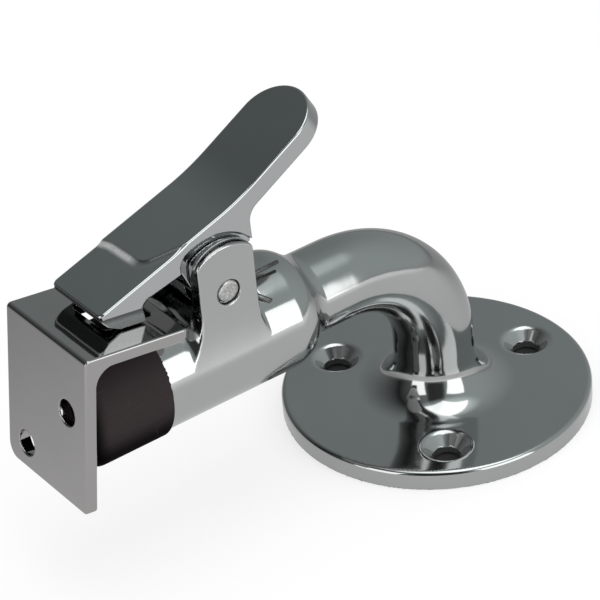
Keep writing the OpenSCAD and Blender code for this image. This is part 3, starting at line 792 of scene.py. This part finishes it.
def tube_faces(rings, sides):
    """Quads between rings, and one cap face at each end."""
    i, k = np.meshgrid(np.arange(rings - 1), np.arange(sides), indexing="ij")
    n = (k + 1) % sides
    quads = np.stack([i * sides + k, i * sides + n, (i + 1) * sides + n, (i + 1) * sides + k], -1)
    caps = [list(range(sides - 1, -1, -1)), list(range((rings - 1) * sides, rings * sides))]
    return quads.reshape(-1, 4).tolist() + caps


def lathe(profile, steps, origin, along, side):
    """Closed turned mesh. Each profile row (distance, radius) goes round the axis:
    origin + distance * along + radius * (cos t * side + sin t * across)."""
    across = np.cross(along, side)
    t = np.linspace(0, 2 * np.pi, steps, endpoint=False)
    circle = np.cos(t)[:, None] * side + np.sin(t)[:, None] * across
    d, r = profile.T
    rings = origin + d[:, None, None] * along + r[:, None, None] * circle[None]
    return rings.reshape(-1, 3), tube_faces(len(profile), steps)


def tube(path, r, sides=14):
    """Circle of radius r carried along the path: each ring stands across the mean
    of the directions that meet at its point."""
    step = np.diff(path, axis=0)
    step /= np.linalg.norm(step, axis=1)[:, None]
    t = np.concatenate([step[:1], step[:-1] + step[1:], step[-1:]])
    t /= np.linalg.norm(t, axis=1)[:, None]
    n = np.cross(t, (0, 1, 0))
    n /= np.linalg.norm(n, axis=1)[:, None]
    b = np.cross(n, t)
    k = np.linspace(0, 2 * np.pi, sides, endpoint=False)[None, :, None]
    rings = path[:, None] + r * (np.cos(k) * n[:, None] + np.sin(k) * b[:, None])
    return rings.reshape(-1, 3), tube_faces(len(path), sides)


def swept(name, points, faces):
    """Mesh from rings and caps, shaded smooth, with its faces turned outwards."""
    mesh = bpy.data.meshes.new(name)
    mesh.from_pydata((np.asarray(points) * MM).tolist(), [], faces)
    mesh.validate()
    shape = bmesh.new()
    shape.from_mesh(mesh)
    bmesh.ops.recalc_face_normals(shape, faces=shape.faces)
    shape.to_mesh(mesh)
    shape.free()
    mesh.polygons.foreach_set("use_smooth", np.ones(len(mesh.polygons), bool))
    thing = bpy.data.objects.new(name, mesh)
    bpy.context.scene.collection.objects.link(thing)
    print(name, len(mesh.vertices), "vertices")
    return thing


# %% [markdown]
# The buffer is a thick cup. Its hollow fits over a spigot with a mushroom rim, so
# the profile starts inside the hollow, comes out over the back face, and goes
# round the soft front edge to the middle.

# %% Buffer
BACK, FRONT, BUFFER_R, BACK_EDGE, FRONT_EDGE = 0.03, 14.9, 12.0, 0.5, 1.8
NECK_HOLE, RIM_HOLE, HOLLOW = 4.53, 6.53, 9.03
MIDDLE = 0.4
buffer_profile = np.concatenate([
    [(HOLLOW, MIDDLE), (HOLLOW, NECK_HOLE), (6.5, RIM_HOLE), (6.47, NECK_HOLE),
     (BACK, NECK_HOLE), (BACK, 10.0)],
    arc(BACK + BACK_EDGE, BUFFER_R - BACK_EDGE, BACK_EDGE, 180, 90),
    arc(FRONT - FRONT_EDGE, BUFFER_R - FRONT_EDGE, FRONT_EDGE, 90, 0, 12),
    [(FRONT, 9.6), (FRONT, 5.0), (FRONT, MIDDLE)]])
head_face = np.array([HEAD_FRONT, 0, AXIS_Z])
rubber = swept("rubber_bumper", *lathe(buffer_profile, 128, head_face,
                                      np.array([-1.0, 0, 0]), np.array([0, 0, 1.0])))
dress(rubber, "stop", "buffer_rubber", buffer_rubber, "rubber_buffer")

# %% [markdown]
# The pin is riveted: each end was hammered until it filled its seat, and its rim
# is round and sits a little to one side. The end's profile has a faint hollow in
# the middle, and the other end is its mirror.

# %% Pin
PUSHED, PUSHED_FROM = (0.13, 0, 0.1), 8.7
end_profile = np.array([(9.5, 0.2), (9.46, 0.5), (9.5, 0.8), (9.5, 1.5), (9.44, 1.85),
                        (9.3, 2.08), (9.05, 2.16), (8.75, 2.17), (8.7, 2.1)])
pin_profile = np.concatenate([end_profile * (-1, 1), end_profile[::-1]])
pin_points, pin_faces = lathe(pin_profile, 64, np.array([PIN_X, 0, PIN_Z]),
                              np.array([0, 1.0, 0]), np.array([1.0, 0, 0]))
share = np.clip((np.abs(pin_points[:, 1]) - PUSHED_FROM) / 0.4, 0, 1)
pin = swept("hammered_pin", pin_points + share[:, None] * PUSHED, pin_faces)
dress(pin, "stop", "pin_steel", pin_metal, "pivot_pin")

# %% [markdown]
# The spring is coiled round the pin inside the lever. One leg runs back under the
# lever's heel, and the other comes out beside the tail and rests on the head.
# Those are the two ends that show behind the near ear.

# %% Spring
WIRE_R, COIL_R, COIL_START, PITCH, TURNS, PER_TURN = 0.4, 3.0, -3.9, 0.85, 2.65, 24


def on_head(y):
    """Height above the pin of a wire that lies on the head at y: the top of a
    circle of the head's and the wire's radius together, less the pin's rise."""
    return np.sqrt((HEAD_R + WIRE_R) ** 2 - y * y) - (PIN_Z - AXIS_Z)


i = np.arange(round(TURNS * PER_TURN) + 1)
a = np.radians(-90 - i * 360 / PER_TURN)
coil = np.stack([COIL_R * np.cos(a), COIL_START - i * PITCH / PER_TURN,
                 COIL_R * np.sin(a)], 1)
coil_end = COIL_START - TURNS * PITCH
heel_leg = [(14.4, COIL_START, -2.8), (7.2, COIL_START, -2.9)]
head_leg = [(6.7, coil_end, on_head(7) + 1), (7.3, -7, on_head(7) + 0.3),
            (9.4, -8.4, on_head(8.4))]
points, faces = tube(np.concatenate([heel_leg, coil, head_leg]), WIRE_R)
spring = swept("bent_spring", points + (PIN_X, 0, PIN_Z), faces)
dress(spring, "stop", "spring_steel", spring_metal, "catch_spring")

# %% [markdown]
# ## The studio
# Polished metal shows nothing but its surroundings, so the studio is part of the
# finish: a pale floor, a softbox on either side, a bright ceiling, and walls that
# are darker on one side.
#
# The floor is white to the camera. What the metal sees of it is a glow with painted light and
# shade: grey under the object and brighter towards the front. Right under the flange the paper is
# painted near black and gives no glow, a painted shadow of the flange.

# %% Floor
# The third colour is a painted shadow: the paper under the flange.
FLOOR_HALF, PAPER, FLANGE_SHADOW = 1.5, (0.9, 0.9, 0.9), (0.02, 0.02, 0.02)
corners = [(x * FLOOR_HALF, y * FLOOR_HALF, 0) for x, y in ((-1, -1), (1, -1), (1, 1), (-1, 1))]
mesh = bpy.data.meshes.new("floor")
mesh.from_pydata(corners, [], [(0, 1, 2, 3)])
floor = bpy.data.objects.new("floor", mesh)
bpy.context.scene.collection.objects.link(floor)
paper, tree, shader, place = finish_of("white paper", PAPER, 0.0, 0.9)
floor.data.materials.append(paper)


def ray_kinds(tree):
    """Three masks that are 1 for a camera, a glossy and a transmitted ray."""
    rays = tree.nodes.new("ShaderNodeLightPath")
    return [Wire(tree, rays.outputs[f"Is {kind} Ray"])
            for kind in ("Camera", "Glossy", "Transmission")]


def parts_of(tree, vector):
    """The x, y and z of a vector."""
    node = tree.nodes.new("ShaderNodeSeparateXYZ")
    tree.links.new(vector.socket, node.inputs[0])
    return [Wire(tree, out) for out in node.outputs]


camera_ray, glossy_ray, clear_ray = ray_kinds(tree)
px, py, _ = parts_of(tree, place)
frontwards = px * -0.3 - py * 0.954
# painted light and shade: the glow that the metal sees is brighter towards the front
lit = 0.34 + 0.44 * frontwards.step(-0.09, 0.05) + 0.4 * frontwards.step(0.09, 0.2)
from_middle = make(tree, "ShaderNodeVectorMath", {"operation": "LENGTH"}, {0: place}, 1)
# painted shadow: this mask is 0 on a disc just inside the flange's rim, where the paper is dark
# and gives no glow
outside_flange_shadow = from_middle.step(0.0285, 0.0292)
glow = make(tree, "ShaderNodeEmission", {},
            {"Color": (1, 1, 1, 1), "Strength": lit + (1 - lit) * camera_ray})
seen = camera_ray.at_least(glossy_ray).at_least(clear_ray)
share = seen * (0.85 - 0.2 * camera_ray) * outside_flange_shadow
# painted shadow: the paper's colour turns near black under the flange
shade = blend(tree, outside_flange_shadow, (*FLANGE_SHADOW, 1), (*PAPER, 1))
tree.links.new(shade.socket, shader.inputs["Base Color"])
mixed = make(tree, "ShaderNodeMixShader", {},
             {0: share, 1: Wire(tree, shader.outputs[0]), 2: glow})
tree.links.new(mixed.socket, tree.nodes["Material Output"].inputs["Surface"])
print("floor:", 2 * FLOOR_HALF, "m wide")

# %% [markdown]
# The world gives the diffuse surfaces a plain even light, is white to the camera,
# and shows walls only to rays that leave a shiny surface. The walls get lighter
# from one side to the other, with a dark zone behind the camera and a brighter
# patch overhead, and they are a little cool. Below the skyline a far floor takes
# over, which is brighter in front of the piece.

# %% World
EVEN_LIGHT, COOL = 0.85, (0.9, 1.0, 0.99)
world = bpy.data.worlds.new("studio")
bpy.context.scene.world = world
world.use_nodes = True
tree = world.node_tree
tree.nodes.clear()
dx, dy, dz = parts_of(tree, make(tree, "ShaderNodeTexCoord"))
camera_ray, glossy_ray, clear_ray = ray_kinds(tree)
level = (dx * dx + dy * dy).at_least(0.0001) ** 0.5
side = (dx * 0.77 - dy * 0.64) / level
half = ((1 + side) * 0.5).at_least(0.0)
wall = 0.03 + 0.43 * half ** 0.5 + 0.09 * half ** 3.0
behind = (dx * -0.643 - dy * 0.766) / level
wall = wall * (1 - 0.85 * behind.step(0.9, 0.965))
over = dx * 0.049 - dy * 0.184 + dz * 0.982
shown = wall + 0.5 * over.step(0.82, 0.95)
skyline = 1 - dz.step(-0.04, 0.1)
ahead = dy * -1.0 / level
far_floor = 0.2 + 0.22 * ahead.step(-0.4, 0.4) + 0.5 * ahead.step(0.9, 1.0)
shown = shown + (far_floor - shown) * skyline
seen = EVEN_LIGHT + (shown - EVEN_LIGHT) * glossy_ray.at_least(clear_ray)
strength = camera_ray + (1 - camera_ray) * seen
cool = blend(tree, glossy_ray * (1 - skyline) * (1 - camera_ray), (1, 1, 1, 1), (*COOL, 1))
back = make(tree, "ShaderNodeBackground", {}, {"Color": cool, "Strength": strength})
out = tree.nodes.new("ShaderNodeOutputWorld")
tree.links.new(back.socket, out.inputs["Surface"])
print("world:", len(tree.nodes), "nodes")

# %% [markdown]
# Three area lamps light the piece. The right softbox is small and stands near, so
# that its reflection in the round head is a window with clear edges. The two
# others are large and far, and give broad soft bands.

# %% Lamps
def softbox(name, azimuth, elevation, width, height, watts, distance=1.2):
    """Area lamp that faces the object. Azimuth 0 is +Y and 90 is +X."""
    a, e = np.radians(azimuth), np.radians(elevation)
    at = Vector((np.sin(a) * np.cos(e), np.cos(a) * np.cos(e), np.sin(e))) * distance
    target = Vector((-0.03, 0, 0.035))
    light = bpy.data.lights.new(name, "AREA")
    light.shape, light.energy = "RECTANGLE", watts
    light.size, light.size_y = width, height
    lamp = bpy.data.objects.new(name, light)
    lamp.location = at + target
    lamp.rotation_euler = (-at).to_track_quat("-Z", "Y").to_euler()
    lamp.visible_camera = False
    bpy.context.scene.collection.objects.link(lamp)
    print(name, watts, "W")


softbox("softbox left", -99, 18, 0.68, 0.86, 3.5)
softbox("softbox right", 168.4, 15.2, 0.24, 0.26, 0.375, 0.362)
softbox("ceiling light", 165, 80, 0.87, 0.87, 3.8)

# %% [markdown]
# ## The camera
# It looks down a long lens from the front left, turned a few degrees about its
# own axis, as the photograph was taken. It stands a little beside the line through
# the flange's middle, which frames the whole piece without a lens shift.

# %% Camera
azimuth, elevation, roll = np.radians([-34.0, 33.377, -5.18])
DISTANCE, BESIDE, ABOVE, LENS = 550, -26.579, 18.619, 170.13
right = np.array([np.cos(azimuth), np.sin(azimuth), 0])
back_axis = np.array([np.sin(azimuth) * np.cos(elevation),
                      -np.cos(azimuth) * np.cos(elevation), np.sin(elevation)])
up = np.cross(back_axis, right)
camera_right = np.cos(roll) * right + np.sin(roll) * up
camera_up = -np.sin(roll) * right + np.cos(roll) * up
camera_data = bpy.data.cameras.new("camera")
camera_data.lens, camera_data.sensor_width = LENS, 36
camera = bpy.data.objects.new("camera", camera_data)
axes = np.eye(4)
axes[:3, 0], axes[:3, 1], axes[:3, 2] = camera_right, camera_up, back_axis
axes[:3, 3] = (back_axis * DISTANCE + camera_right * BESIDE + camera_up * ABOVE) * MM
camera.matrix_world = Matrix(axes.tolist())
bpy.context.scene.collection.objects.link(camera)
bpy.context.scene.camera = camera
bpy.context.scene.view_settings.view_transform = "Standard"
print("camera at", np.round(axes[:3, 3], 3))
